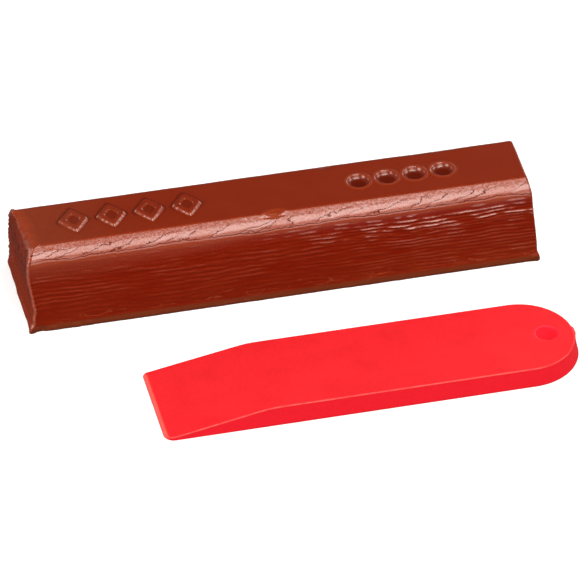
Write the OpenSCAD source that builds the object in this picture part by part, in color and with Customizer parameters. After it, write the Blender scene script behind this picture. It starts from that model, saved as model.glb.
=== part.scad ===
// Furniture repair wax stick: a cast bar of filler wax and the moulded plastic spatula
// that goes with it, lying side by side on a flat surface. All sizes are in millimetres.
// X runs along both pieces, Y across them and Z up.
// The origin is the middle of the pair, on the surface that it lies on.

/* [Wax bar] */
// Length of the bar at its foot
bar_length = 94.5; // [80:0.5:110]
// Width of the bar at its foot
foot_width = 21.5; // [19:0.5:26]
// Width of the flat top
top_width = 11.3; // [10:0.1:12.5]
// Height of the bar from its foot to the flat top
bar_height = 15.6; // [12:0.2:20]
// How far each shoulder steps out beside the flat top
shoulder_reach = 2.6; // [1.6:0.1:3]
// How far each shoulder falls below the flat top
shoulder_drop = 2.4; // [1.6:0.1:3.4]
// Radius of the long edges of the flat top
top_edge_r = 0.6; // [0.2:0.1:0.9]
// Radius of the bend from a shoulder to the side below it
shoulder_bend_r = 2.2; // [0.5:0.1:2.6]
// Height of the upright edge of the foot
lip_height = 0.4; // [0.2:0.1:1]
// How far the foot flares out beyond the sides and ends above it
lip_reach = 0.45; // [0.1:0.05:0.8]
// Height over which the foot's flare runs out into the sides
lip_flare_height = 1.5; // [0.5:0.1:2.5]
// How far the right end leans in from its foot to the top
right_lean = 1.4; // [0.6:0.1:2.5]
// Radius of the top edge at the right end
right_edge_r = 0.4; // [0.2:0.1:1]
// How far the left end leans in from its foot to the top
left_lean = 0.5; // [0.1:0.1:1.5]
// How far the left end swells out between its foot and the top
left_swell = 0.35; // [0:0.05:0.4]
// Radius of the top edge at the left end
left_edge_r = 1.6; // [0.4:0.1:1.8]

/* [Moulded marks] */
// How far the crown of a raised lozenge stands above the flat top
lozenge_height = 0.6; // [0.5:0.1:1]
// Length of a lozenge along the bar
lozenge_length = 5.6; // [4:0.1:6]
// Width of a lozenge across the bar
lozenge_width = 7.4; // [5:0.1:8]
// Radius of the corners of a lozenge
lozenge_corner_r = 0.7; // [0.2:0.1:0.8]
// How far the top of a lozenge falls from its middle to its far corners
lozenge_crown = 0.2; // [0.05:0.05:0.4]
// Width of the rim round a lozenge's sunk middle
lozenge_rim = 1; // [0.6:0.1:1.1]
// How far a lozenge's middle is sunk below the highest point of its crown
lozenge_sink = 0.35; // [0.1:0.05:0.4]
// Step from one lozenge to the next
lozenge_pitch = 6.9; // [6.4:0.1:7.5]
// Distance from the left end of the foot to the first lozenge's middle
lozenge_inset = 10.6; // [8:0.1:12]
// How many lozenges there are
lozenge_count = 4; // [0:1:4]
// Width of a sunk dimple at the flat top
dimple_width = 4; // [2:0.1:4.4]
// Depth of a sunk dimple
dimple_depth = 0.8; // [0.3:0.1:1.2]
// Step from one dimple to the next
dimple_pitch = 5.2; // [4.6:0.1:5.6]
// Distance from the right end of the foot to the last dimple's middle
dimple_inset = 15.9; // [10:0.1:17]
// How many dimples there are
dimple_count = 4; // [0:1:4]

/* [Spatula] */
// Length of the spatula from its tip to its round end
spatula_length = 77; // [60:0.5:90]
// Width of the spatula at its underside
spatula_width = 20.6; // [16:0.2:26]
// Thickness of the handle
spatula_thickness = 3.5; // [2.5:0.1:5]
// How far the moulded walls lean in from the underside to the top
wall_draft = 0.75; // [0.2:0.05:1]
// Radius of the handle's top edge
handle_edge_r = 0.4; // [0.1:0.1:0.6]
// Length of the wedge that thins out to the tip
wedge_length = 19; // [12:0.5:26]
// Thickness of the tip's working edge
tip_thickness = 0.4; // [0.3:0.05:1]
// Radius that blends the wedge into the handle
wedge_blend_r = 14; // [2:1:20]
// Radius of the two corners of the tip, seen from above
tip_corner_r = 1.8; // [0.5:0.1:4]

/* [Hanging hole] */
// Diameter of the hole
hole_diameter = 3.8; // [3:0.1:6]
// Distance from the round end to the hole's middle
hole_inset = 5.6; // [5.2:0.1:9]
// Radius of the rims of the hole
hole_rim_r = 0.45; // [0.1:0.05:0.7]

/* [Trimmed gate on the round end] */
// Width of the trimmed gate
gate_width = 2.2; // [1:0.1:4]
// How far the gate's flat face lies inside the round end's furthest reach
gate_inset = 0.45; // [0.3:0.05:0.6]
// Height at which the gate begins above the underside
gate_base = 0.7; // [0.4:0.1:1.2]

/* [Layout] */
// Gap between the foot of the bar and the spatula
pair_gap = 15; // [5:1:40]
// How far the spatula's round end lies inside the bar's right end
spatula_inset = 0.4; // [0:0.1:10]

/* [Hidden] */
// How far a cut runs past the surface that it opens
overrun = 0.5;
// Straight pieces in one rounded corner or bend of an outline
corner_steps = 6;
$fn = 96;

pair_depth = foot_width + pair_gap + spatula_width;
bar_y = (pair_depth - foot_width) / 2;
spatula_y = -(pair_depth - spatula_width) / 2;
shoulder_y = top_width / 2 + shoulder_reach;
side_foot_y = foot_width / 2 - lip_reach;
flare_top = lip_height + lip_flare_height;
left_x = -bar_length / 2;
right_x = bar_length / 2;
round_end_x = right_x - spatula_inset;
tip_x = round_end_x - spatula_length;
end_centre_x = round_end_x - spatula_width / 2;
hole_x = round_end_x - hole_inset;
hole_r = hole_diameter / 2;
lozenge_in_r = lozenge_length * lozenge_width / (2 * norm([lozenge_length, lozenge_width]));
lozenge_inner_share = 1 - lozenge_rim / lozenge_in_r;

// Outlines: a list of [x, y, radius], anticlockwise, whose corners are rounded

function unit(v) = v / norm(v);

// The points that round the corner b between its neighbours a and c
function rounded_corner(a, b, c, radius) =
    radius <= 0 ? [b] :
    let (
        to_a = unit(a - b),
        to_c = unit(c - b),
        half = acos(to_a * to_c) / 2,
        centre = b + unit(to_a + to_c) * radius / sin(half),
        from = b + to_a * radius / tan(half) - centre,
        to = b + to_c * radius / tan(half) - centre,
        start = atan2(from.y, from.x),
        turn = atan2(cross(from, to), from * to)
    )
    [for (i = [0 : corner_steps])
        centre + radius * [cos(start + turn * i / corner_steps), sin(start + turn * i / corner_steps)]];

function flat_point(p) = [p.x, p.y];

function sharp(points) = [for (p = points) [p.x, p.y, 0]];

// A smooth bend that leaves a towards b and reaches c from b
function bend(a, b, c) =
    [for (i = [0 : corner_steps])
        let (t = i / corner_steps)
        pow(1 - t, 2) * a + 2 * t * (1 - t) * b + pow(t, 2) * c];

function rounded_outline(corners) =
    let (n = len(corners))
    [for (i = [0 : n - 1])
        each rounded_corner(
            flat_point(corners[(i + n - 1) % n]),
            flat_point(corners[i]),
            flat_point(corners[(i + 1) % n]),
            corners[i].z)];

// The corners of one side of an outline, and the same mirrored on the other side, in order round it
function both_sides(half) =
    let (n = len(half))
    concat(half, [for (i = [1 : n]) [-half[n - i].x, half[n - i].y, half[n - i].z]]);

// Pushes an outline drawn in Y and Z along X, from x_start to x_end
module along_x(x_start, x_end) {
    translate([x_start, 0, 0])
        rotate([90, 0, 90])
            linear_extrude(height = x_end - x_start)
                children();
}

// Pushes an outline drawn in X and Z across Y, to half the width on each side
module across_y(width) {
    translate([0, width / 2, 0])
        rotate([90, 0, 0])
            linear_extrude(height = width)
                children();
}

// Wax bar

// The foot's flare, drawn with the side above it standing at side_x and the foot reaching foot_x
function flare(foot_x, side_x) =
    sharp(bend([foot_x, lip_height], [side_x, lip_height], [side_x, flare_top]));

bar_section = both_sides(concat(
    [[foot_width / 2, 0, 0]],
    flare(foot_width / 2, side_foot_y),
    [[shoulder_y, bar_height - shoulder_drop, shoulder_bend_r]],
    [[top_width / 2, bar_height, top_edge_r]]
));

left_top = [left_x + left_lean, bar_height - 2 * left_edge_r];
left_foot = [left_x + lip_reach, flare_top];
left_control = (left_top + left_foot) / 2 - [2 * left_swell, 0];

bar_side = concat(
    [[right_x, 0, 0]],
    flare(right_x, right_x - lip_reach),
    [[right_x - right_lean, bar_height, right_edge_r]],
    [[left_x + left_lean, bar_height, left_edge_r]],
    sharp(bend(left_top, left_control, left_foot)),
    sharp(bend(left_foot, [left_x + lip_reach, lip_height], [left_x, lip_height])),
    [[left_x, 0, 0]]
);

// The cast block: the section pushed along the bar, cut to the outline seen from the side
module cast_block() {
    intersection() {
        along_x(left_x - overrun, right_x + overrun)
            polygon(rounded_outline(bar_section));
        across_y(foot_width + 2 * overrun)
            polygon(rounded_outline(bar_side));
    }
}

// The radius of a ball whose cap is half_width from its middle to its rim, and height deep
function cap_ball_r(half_width, height) = (pow(half_width, 2) + pow(height, 2)) / (2 * height);

// A lozenge seen from above, at a share of its full size
module lozenge_outline(share) {
    polygon(rounded_outline([
        [share * lozenge_length / 2, 0, share * lozenge_corner_r],
        [0, share * lozenge_width / 2, share * lozenge_corner_r],
        [-share * lozenge_length / 2, 0, share * lozenge_corner_r],
        [0, -share * lozenge_width / 2, share * lozenge_corner_r]
    ]));
}

// A raised lozenge with a crowned rim round its sunk middle
module lozenge() {
    crown_r = cap_ball_r(lozenge_width / 2, lozenge_crown);
    difference() {
        intersection() {
            translate([0, 0, bar_height - overrun])
                linear_extrude(height = lozenge_height + 2 * overrun)
                    lozenge_outline(1);
            translate([0, 0, bar_height + lozenge_height - crown_r])
                sphere(r = crown_r);
        }
        translate([0, 0, bar_height + lozenge_height - lozenge_sink])
            linear_extrude(height = lozenge_sink + overrun)
                lozenge_outline(lozenge_inner_share);
    }
}

// The ball whose cap is a dimple
module dimple_cutter() {
    ball_r = cap_ball_r(dimple_width / 2, dimple_depth);
    translate([0, 0, bar_height - dimple_depth + ball_r])
        sphere(r = ball_r);
}

module wax_bar() {
    color("#7c2013")
        translate([0, bar_y, 0])
            difference() {
                union() {
                    cast_block();
                    if (lozenge_count > 0)
                        for (i = [0 : lozenge_count - 1])
                            translate([left_x + lozenge_inset + i * lozenge_pitch, 0, 0])
                                lozenge();
                }
                if (dimple_count > 0)
                    for (i = [0 : dimple_count - 1])
                        translate([right_x - dimple_inset - i * dimple_pitch, 0, 0])
                            dimple_cutter();
            }
}

// Spatula

// One half of the handle's section, from the middle out to the drafted wall
handle_half = [
    [spatula_width / 2, 0, 0],
    [spatula_width / 2 - wall_draft, spatula_thickness, handle_edge_r]
];

module handle_strip() {
    along_x(tip_x, end_centre_x)
        polygon(rounded_outline(both_sides(handle_half)));
}

// The round end: the same half section turned about the end's centre
module round_end() {
    translate([end_centre_x, 0, 0])
        intersection() {
            rotate_extrude()
                polygon(rounded_outline(concat([[0, 0, 0]], handle_half, [[0, spatula_thickness, 0]])));
            translate([0, -spatula_width / 2 - overrun, -overrun])
                cube([spatula_width, spatula_width + 2 * overrun, spatula_thickness + 2 * overrun]);
        }
}

// What is left of the gate that the plastic came in through, cut off flush
module trimmed_gate() {
    translate([end_centre_x, -gate_width / 2, gate_base])
        cube([spatula_width / 2 - gate_inset, gate_width, spatula_thickness - handle_edge_r - gate_base]);
}

// Everything above the wedge, seen from the side
module wedge_cutter() {
    above = spatula_thickness + overrun;
    rise = (spatula_thickness - tip_thickness) / wedge_length;
    before = tip_x - overrun;
    across_y(spatula_width + 2 * overrun)
        polygon(rounded_outline([
            [before, tip_thickness - rise * overrun, 0],
            [tip_x + wedge_length, spatula_thickness, wedge_blend_r],
            [end_centre_x, spatula_thickness, 0],
            [end_centre_x, above, 0],
            [before, above, 0]
        ]));
}

// The waste outside a rounded corner of the tip
module tip_corner_cutter() {
    translate([tip_x, spatula_width / 2, -overrun])
        difference() {
            translate([-overrun, -tip_corner_r, 0])
                cube([tip_corner_r + overrun, tip_corner_r + overrun, spatula_thickness + 2 * overrun]);
            translate([tip_corner_r, -tip_corner_r, -overrun])
                cylinder(r = tip_corner_r, h = spatula_thickness + 4 * overrun);
        }
}

// The quarter of a circle that starts at an angle and ends a right angle further on
function quarter(centre, radius, start) =
    [for (i = [0 : corner_steps])
        centre + radius * [cos(start + 90 * i / corner_steps), sin(start + 90 * i / corner_steps)]];

function backwards(points) = [for (i = [1 : len(points)]) points[len(points) - i]];

// The hole and its two rounded rims as one turned cutter
module hole_cutter() {
    rim_out = hole_r + hole_rim_r;
    lower_rim = backwards(quarter([rim_out, hole_rim_r], hole_rim_r, 180));
    upper_rim = backwards(quarter([rim_out, spatula_thickness - hole_rim_r], hole_rim_r, 90));
    translate([hole_x, 0, 0])
        rotate_extrude()
            polygon(concat(
                [[0, -overrun], [rim_out, -overrun]],
                lower_rim,
                upper_rim,
                [[rim_out, spatula_thickness + overrun], [0, spatula_thickness + overrun]]
            ));
}

module spatula() {
    color("#f5303a")
        translate([0, spatula_y, 0])
            difference() {
                union() {
                    handle_strip();
                    round_end();
                    trimmed_gate();
                }
                wedge_cutter();
                tip_corner_cutter();
                mirror([0, 1, 0])
                    tip_corner_cutter();
                hole_cutter();
            }
}

wax_bar();
spatula();
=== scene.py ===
"""Furniture repair wax stick: a cast bar of filler wax and its moulded plastic spatula.

The file is laid out as an add-on with one operator for each piece and one for the stage. Run as a
script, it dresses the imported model: the bar's skin with its cast relief, the spatula with its
rounded edges, their materials, the floor, the light and the camera. Sizes are in millimetres
unless a property says otherwise, and every mesh is in metres in the model's own frame.
"""

import math

import bmesh
import bpy
import numpy as np
from bpy.props import FloatProperty, FloatVectorProperty, IntProperty, PointerProperty
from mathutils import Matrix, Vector
from mathutils.geometry import delaunay_2d_cdt


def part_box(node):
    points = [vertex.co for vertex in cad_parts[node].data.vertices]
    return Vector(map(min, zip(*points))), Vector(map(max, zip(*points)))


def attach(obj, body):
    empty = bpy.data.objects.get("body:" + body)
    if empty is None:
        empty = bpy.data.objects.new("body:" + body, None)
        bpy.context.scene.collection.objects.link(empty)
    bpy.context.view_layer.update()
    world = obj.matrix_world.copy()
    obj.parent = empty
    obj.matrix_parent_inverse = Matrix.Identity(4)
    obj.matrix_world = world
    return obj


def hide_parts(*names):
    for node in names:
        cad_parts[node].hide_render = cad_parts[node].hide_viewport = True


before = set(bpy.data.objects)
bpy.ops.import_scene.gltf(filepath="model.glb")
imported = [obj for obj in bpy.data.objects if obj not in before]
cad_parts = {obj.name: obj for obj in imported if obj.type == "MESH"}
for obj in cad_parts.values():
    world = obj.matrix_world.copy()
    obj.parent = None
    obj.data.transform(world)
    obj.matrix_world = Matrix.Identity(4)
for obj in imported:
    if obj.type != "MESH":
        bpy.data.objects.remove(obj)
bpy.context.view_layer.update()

bl_info = {
    "name": "Wax stick and spatula",
    "version": (1, 0, 0),
    "blender": (4, 5, 0),
    "location": "View3D > Sidebar > Wax stick",
    "description": "Dresses a cast wax bar and its moulded spatula",
    "category": "Add Mesh",
}

MM = 0.001
BAR_LOW, BAR_HIGH = (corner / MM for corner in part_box("wax_bar"))
TOOL_LOW, TOOL_HIGH = (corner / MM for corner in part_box("spatula"))
BAR_Y = (BAR_LOW.y + BAR_HIGH.y) / 2
BAR_HALF = BAR_HIGH.y - BAR_Y
TOOL_Y = (TOOL_LOW.y + TOOL_HIGH.y) / 2
TOOL_HALF = TOOL_HIGH.y - TOOL_Y


# Sizes and colours


def number(name, description, default, unit="NONE"):
    return FloatProperty(name=name, description=description, default=default, unit=unit)


def angle(name, description, degrees):
    return number(name, description, math.radians(degrees), "ROTATION")


def size(name, description, default):
    return FloatProperty(name=name, description=description, default=default, min=0, max=200)


def whole(name, description, default):
    return IntProperty(name=name, description=description, default=default, min=1)


def colour(name, description, default):
    return FloatVectorProperty(
        name=name, description=description, default=default, size=3, min=0, max=1, subtype="COLOR"
    )


class WaxBarSettings(bpy.types.PropertyGroup):
    """Sizes in millimetres and colours of the wax bar."""

    top_z: size("Top", "Height of the flat top", 15.6)
    top_half: size("Top half width", "Half the width of the flat top", 5.6)
    shoulder_half: size("Shoulder half width", "Half the width at the foot of the shoulders", 8.3)
    shoulder_z: size("Shoulder height", "Height at which the shoulders meet the sides", 13.45)
    shoulder_crest: size("Shoulder crest", "How far the shoulders bulge above a straight slope", 0.24)
    lozenge_height: size("Lozenge height", "Height of the raised lozenges", 0.6)
    lozenge_length: size("Lozenge length", "Length of a lozenge along the bar", 5.6)
    lozenge_width: size("Lozenge width", "Width of a lozenge across the bar", 7.4)
    lozenge_rim: size("Lozenge rim", "Width of the rim round a lozenge's sunk middle", 1.0)
    lozenge_sink: size("Lozenge sink", "Depth of a lozenge's sunk middle", 0.35)
    lozenge_pitch: size("Lozenge pitch", "Step from one lozenge to the next", 6.9)
    lozenge_inset: size("First lozenge", "Distance from the left end to the first lozenge", 10.6)
    lozenge_count: whole("Lozenges", "How many lozenges there are", 4)
    dimple_width: size("Dimple width", "Width of the sunk dimples", 4.0)
    dimple_depth: size("Dimple depth", "Depth of the sunk dimples", 0.8)
    dimple_pitch: size("Dimple pitch", "Step from one dimple to the next", 5.2)
    dimple_inset: size("Last dimple", "Distance from the right end to the last dimple", 15.9)
    dimple_count: whole("Dimples", "How many dimples there are", 4)
    ridge_pitch: size("Ridge pitch", "Sets the step between the ridges drawn along the sides", 1.0)
    ridge_height: size("Ridge height", "Height of the strongest ridges", 0.2)
    plate_relief: size("Plate relief", "Height of the chilled plates on the shoulders", 0.07)
    unevenness: size("Unevenness", "Height of the slow waves all over the casting", 0.06)
    end_relief: size("End relief", "Height of the rough skin on the left end", 0.14)
    seed: number("Seed", "Picks the pattern of ridges and plates", 3.7)
    wax: colour("Wax", "Colour of the wax in the sides", (0.166, 0.0048, 0.0001))
    wax_top: colour("Satin top", "Colour of the satin top", (0.186, 0.0155, 0.0032))
    # Paler wax for the streaks, tide lines, lip and mottling. The same colour is also painted highlight on
    # the ridge crests, the marks' front edges and rims, the shoulders and the sheen just below them.
    wax_pale_and_highlight: colour("Rubbed wax", "Colour of rubbed crests, rims and the lip", (0.29, 0.04, 0.0095))
    wax_bloom: colour("Bloom", "Colour of the bloom on the top's left end", (0.2, 0.045, 0.02))
    # Painted highlight: the bead down the left end's edges, and the ends' edges, are paler
    wax_bead_highlight: colour("Bead", "Colour of the thin bead down the left end's edges", (0.42, 0.09, 0.05))
    wax_end: colour("Rough end", "Colour of the rough left end", (0.26, 0.022, 0.002))
    wax_dust: colour("Dusty foot", "Colour of the dull band round the foot", (0.125, 0.027, 0.01))
    # Besides the cracks, this colour is painted shade in the dimples, round the lozenges' feet and in their
    # sunk middles, and along the foot where it meets the floor. It also darkens the left end in patches.
    wax_crack_and_shade: colour("Cracks", "Colour down in the cracks", (0.08, 0.004, 0.0005))


class SpatulaSettings(bpy.types.PropertyGroup):
    """Sizes in millimetres and colours of the spatula."""

    draft: size("Draft", "How far the walls lean in from the underside to the top", 0.75)
    edge_round: size("Edge rounding", "Radius of the top edge", 0.28)
    tip_round: size("Tip rounding", "How far back from the tip its working edge is rounded", 0.6)
    foot_round: size("Foot rounding", "Radius of the underside's edge", 0.12)
    wedge_length: size("Wedge length", "Length of the wedge that thins out to the tip", 19.0)
    tip_thickness: size("Tip thickness", "Thickness of the wedge at the tip", 0.4)
    wedge_blend: size("Wedge blend", "Radius that blends the wedge into the handle", 26.0)
    near_corner: size("Near corner", "Radius of the tip's near corner, seen from above", 1.9)
    far_corner: size("Far corner", "Radius of the tip's far corner, seen from above", 0.9)
    tip_narrowing: size("Tip narrowing", "How much narrower the tip is on its far side", 1.1)
    hole_width: size("Hole", "Diameter of the hanging hole", 3.9)
    hole_inset: size("Hole inset", "Distance from the round end to the hole's middle", 5.6)
    hole_round: size("Hole rim", "Radius of the hole's rims", 0.28)
    gate_width: size("Gate width", "Width of the trimmed gate", 2.2)
    gate_inset: size("Gate inset", "How far the gate's face lies inside the round end's reach", 0.45)
    gate_base: size("Gate base", "Height at which the gate begins", 0.7)
    plastic: colour("Plastic", "Colour of the moulded plastic", (0.785, 0.0145, 0.0215))
    plastic_worn: colour("Handled plastic", "Colour where handling has dulled it", (0.8, 0.021, 0.027))
    plastic_shade: colour("Plastic speckle", "Colour of the fine darker speckle", (0.55, 0.004, 0.008))
    # Painted shade: a deeper, more saturated red for the walls, set apart from the top for the light that
    # falls on them
    plastic_wall_shade: colour("Walls", "Colour of the smooth walls", (0.83, 0.008, 0.02))
    # Painted light: a brighter red inside the hole, where little light reaches
    plastic_bore_lit: colour("Hole", "Colour inside the hole, where light comes through", (1.0, 0.02, 0.045))
    plastic_glow: colour("Glow", "Light that comes through the plastic round the hole", (0.1, 0.002, 0.004))
    # Painted highlight on the near edges and the working tip
    plastic_edge_highlight: colour("Rubbed edge", "Colour of the rubbed edges and the working tip", (0.84, 0.11, 0.09))


class StageSettings(bpy.types.PropertyGroup):
    """The camera, the light and the floor."""

    azimuth: angle("Azimuth", "Angle of the camera round the object", -13.46)
    elevation: angle("Elevation", "Angle of the camera above the floor", 37.13)
    distance: number("Distance", "Camera to target", 0.90127, "LENGTH")
    lens: number("Lens", "Focal length in millimetres", 308.22)
    target: FloatVectorProperty(
        name="Target",
        description="Point the camera looks at",
        default=(0.00123, 0.00835, 0),
        subtype="TRANSLATION",
    )
    key_power: number("Key light", "Power of the long softbox", 3.3, "POWER")
    front_power: number("Front light", "Power of the low front softbox", 0.7, "POWER")
    side_power: number("Side lights", "Power of the left softbox, which sets the right one's", 1.5, "POWER")
    back_power: number("Back lights", "Power of each back softbox", 1.0, "POWER")
    surround: number("Surround", "Level of the light from all round", 0.27)
    bounced: number("Bounced", "Level of the light that the floor throws up", 0.42)
    mirrored: number("Mirrored surround", "Level of it in reflections", 0.05)
    light: colour("Light", "Colour of the softboxes", (1.0, 0.95, 0.91))
    floor: colour("Floor", "Colour of the floor", (0.55, 0.55, 0.55))


# Node trees

WHITE = (1.0, 1.0, 1.0, 1.0)
# How many nodes stand in a column, and the steps between nodes
COLUMN = 7
NODE_STEP_X = 200
NODE_STEP_Y = -190


class Value:
    """What a node puts out. Arithmetic with it adds nodes to its tree."""

    def __init__(self, tree, socket):
        self.tree = tree
        self.socket = socket

    def __add__(self, other):
        return self.tree.math("ADD", self, other)

    def __sub__(self, other):
        return self.tree.math("SUBTRACT", self, other)

    def __rsub__(self, other):
        return self.tree.math("SUBTRACT", other, self)

    def __mul__(self, other):
        return self.tree.math("MULTIPLY", self, other)

    def __truediv__(self, other):
        return self.tree.math("DIVIDE", self, other)

    def __rtruediv__(self, other):
        return self.tree.math("DIVIDE", other, self)

    def __pow__(self, power):
        return self.tree.math("POWER", self, power)

    def __abs__(self):
        return self.tree.math("ABSOLUTE", self)

    __radd__ = __add__
    __rmul__ = __mul__

    def root(self):
        return self.tree.math("SQRT", self)

    def step(self, low, high, out_low=0.0, out_high=1.0):
        """A smooth step from out_low at low to out_high at high, where low may be above high."""
        if not isinstance(low, Value) and not isinstance(high, Value) and low > high:
            low, high, out_low, out_high = high, low, out_high, out_low
        inputs = {0: self, 1: low, 2: high, 3: out_low, 4: out_high}
        return self.tree.put("ShaderNodeMapRange", inputs, interpolation_type="SMOOTHSTEP")[0]


class Outputs:
    """The outputs of a node as values, by number or by name."""

    def __init__(self, tree, node):
        self.tree = tree
        self.node = node

    def __getitem__(self, key):
        return Value(self.tree, self.node.outputs[key])


class Tree:
    """Adds nodes to a node tree. An input may be a plain number, colour or vector, or a Value."""

    def __init__(self, tree):
        self.tree = tree

    def put(self, kind, inputs=None, **settings):
        column, row = divmod(len(self.tree.nodes), COLUMN)
        node = self.tree.nodes.new(kind)
        node.location = (column * NODE_STEP_X, row * NODE_STEP_Y)
        for name, value in settings.items():
            setattr(node, name, value)
        for key, value in (inputs or {}).items():
            if isinstance(value, Value):
                self.tree.links.new(value.socket, node.inputs[key])
            else:
                node.inputs[key].default_value = value
        return Outputs(self, node)

    def math(self, operation, a, b=0.0, clamp=False):
        return self.put("ShaderNodeMath", {0: a, 1: b}, operation=operation, use_clamp=clamp)[0]

    def largest(self, *values):
        result = values[0]
        for value in values[1:]:
            result = self.math("MAXIMUM", result, value)
        return result

    def vector(self, x, y=0.0, z=0.0):
        return self.put("ShaderNodeCombineXYZ", {0: x, 1: y, 2: z})[0]

    def parts(self, vector):
        split = self.put("ShaderNodeSeparateXYZ", {0: vector})
        return split[0], split[1], split[2]

    def scaled(self, vector, factors):
        return self.put("ShaderNodeVectorMath", {0: vector, 1: factors}, operation="MULTIPLY")[0]

    def noise(self, place, detail, roughness, w=0.0, scale=1.0):
        inputs = {"Vector": place, "W": w, "Scale": scale, "Detail": detail, "Roughness": roughness}
        return self.put("ShaderNodeTexNoise", inputs, noise_dimensions="4D", normalize=True)[0]

    def cells(self, place, feature):
        inputs = {"W": place, "Scale": 1.0}
        return self.put("ShaderNodeTexVoronoi", inputs, voronoi_dimensions="1D", feature=feature)

    def mixed(self, share, a, b):
        """Colour a with a share of colour b in it."""
        a, b = (given if isinstance(given, Value) else (*given, 1.0) for given in (a, b))
        return self.put("ShaderNodeMix", {"Factor": share, 6: a, 7: b}, data_type="RGBA")[2]

    def layered(self, base, layers):
        """A base colour under layers of (share, colour), from the lowest to the highest."""
        for share, layer in layers:
            base = self.mixed(share, base, layer)
        return base

    def either(self, share, a, b):
        """Shader a with a share of shader b in it."""
        return self.put("ShaderNodeMixShader", {0: share, 1: a, 2: b})[0]


def plates(tree, along, depth, seed):
    """The chilled plates on a shoulder: millimetres to the nearest border, and a value for each plate.

    Their borders slant up and to the right. The relief and the material both call this, so that the
    cracks lie in the creases."""
    across = along + depth * 2.8
    line = along * 0.94 - depth * 0.34
    slow = tree.noise(tree.vector(line * 0.22, across * 0.16), 1.0, 0.5, seed)
    quick = tree.noise(tree.vector(line * 0.95, across * 0.25), 4.0, 0.75, seed)
    bend = (slow - 0.5) * 11.0 + (quick - 0.5) * 4.6
    place = (across + bend) * 0.2
    border = tree.cells(place, "DISTANCE_TO_EDGE")["Distance"] * 1.7
    shade = tree.parts(tree.cells(place, "F1")["Color"])[0]
    return border, shade


def long_crack(tree, along, depth, seed):
    """Distance in millimetres, signed, from the wandering crack that ends the plates."""
    slow = tree.noise(tree.vector(along * 0.11), 1.0, 0.5, seed + 5.0)
    quick = tree.noise(tree.vector(along * 0.6), 4.0, 0.7, seed + 6.0)
    return depth - (8.65 + (slow - 0.5) * 1.3 + (quick - 0.5) * 1.1)


# Materials


def group_sockets(group, inputs, outputs):
    for name, kind, default in inputs:
        socket = group.interface.new_socket(name=name, in_out="INPUT", socket_type=kind)
        if default is not None:
            socket.default_value = default
    for name, kind in outputs:
        group.interface.new_socket(name=name, in_out="OUTPUT", socket_type=kind)


def grain_group():
    """Fine grain from a vector in millimetres: its height in millimetres, itself and a slow mottling."""
    group = bpy.data.node_groups.get("fine_grain")
    if group:
        return group
    group = bpy.data.node_groups.new("fine_grain", "ShaderNodeTree")
    group_sockets(
        group,
        [
            ("Vector", "NodeSocketVector", None),
            ("Grain Size", "NodeSocketFloat", 0.2),
            ("Grain Height", "NodeSocketFloat", 0.004),
            ("Mottle Size", "NodeSocketFloat", 6.0),
        ],
        [("Height", "NodeSocketFloat"), ("Grain", "NodeSocketFloat"), ("Mottle", "NodeSocketFloat")],
    )
    t = Tree(group)
    given = t.put("NodeGroupInput")
    grain = t.noise(given["Vector"], 3.0, 0.6, scale=1.0 / given["Grain Size"])
    mottle = t.noise(given["Vector"], 3.0, 0.55, 4.2, scale=1.0 / given["Mottle Size"])
    height = (grain - 0.5) * given["Grain Height"]
    t.put("NodeGroupOutput", {"Height": height, "Grain": grain, "Mottle": mottle.step(0.3, 0.7)})
    return group


def new_material(name):
    material = bpy.data.materials.new(name)
    material.use_nodes = True
    material.node_tree.nodes.clear()
    return material, Tree(material.node_tree)


def attributes(tree, *names):
    """The values of zones that are stored in the mesh."""
    kind = "ShaderNodeAttribute"
    return [tree.put(kind, attribute_name=name, attribute_type="GEOMETRY")["Fac"] for name in names]


def millimetres(tree):
    return tree.scaled(tree.put("ShaderNodeTexCoord")["Object"], (1 / MM, 1 / MM, 1 / MM))


def finish_material(tree, inputs, height):
    """The Principled shader with a bump whose height is in millimetres."""
    bump = tree.put("ShaderNodeBump", {"Strength": 1.0, "Distance": MM, "Height": height})
    shader = tree.put("ShaderNodeBsdfPrincipled", {**inputs, "Normal": bump["Normal"]})
    tree.put("ShaderNodeOutputMaterial", {"Surface": shader["BSDF"]})


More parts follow.
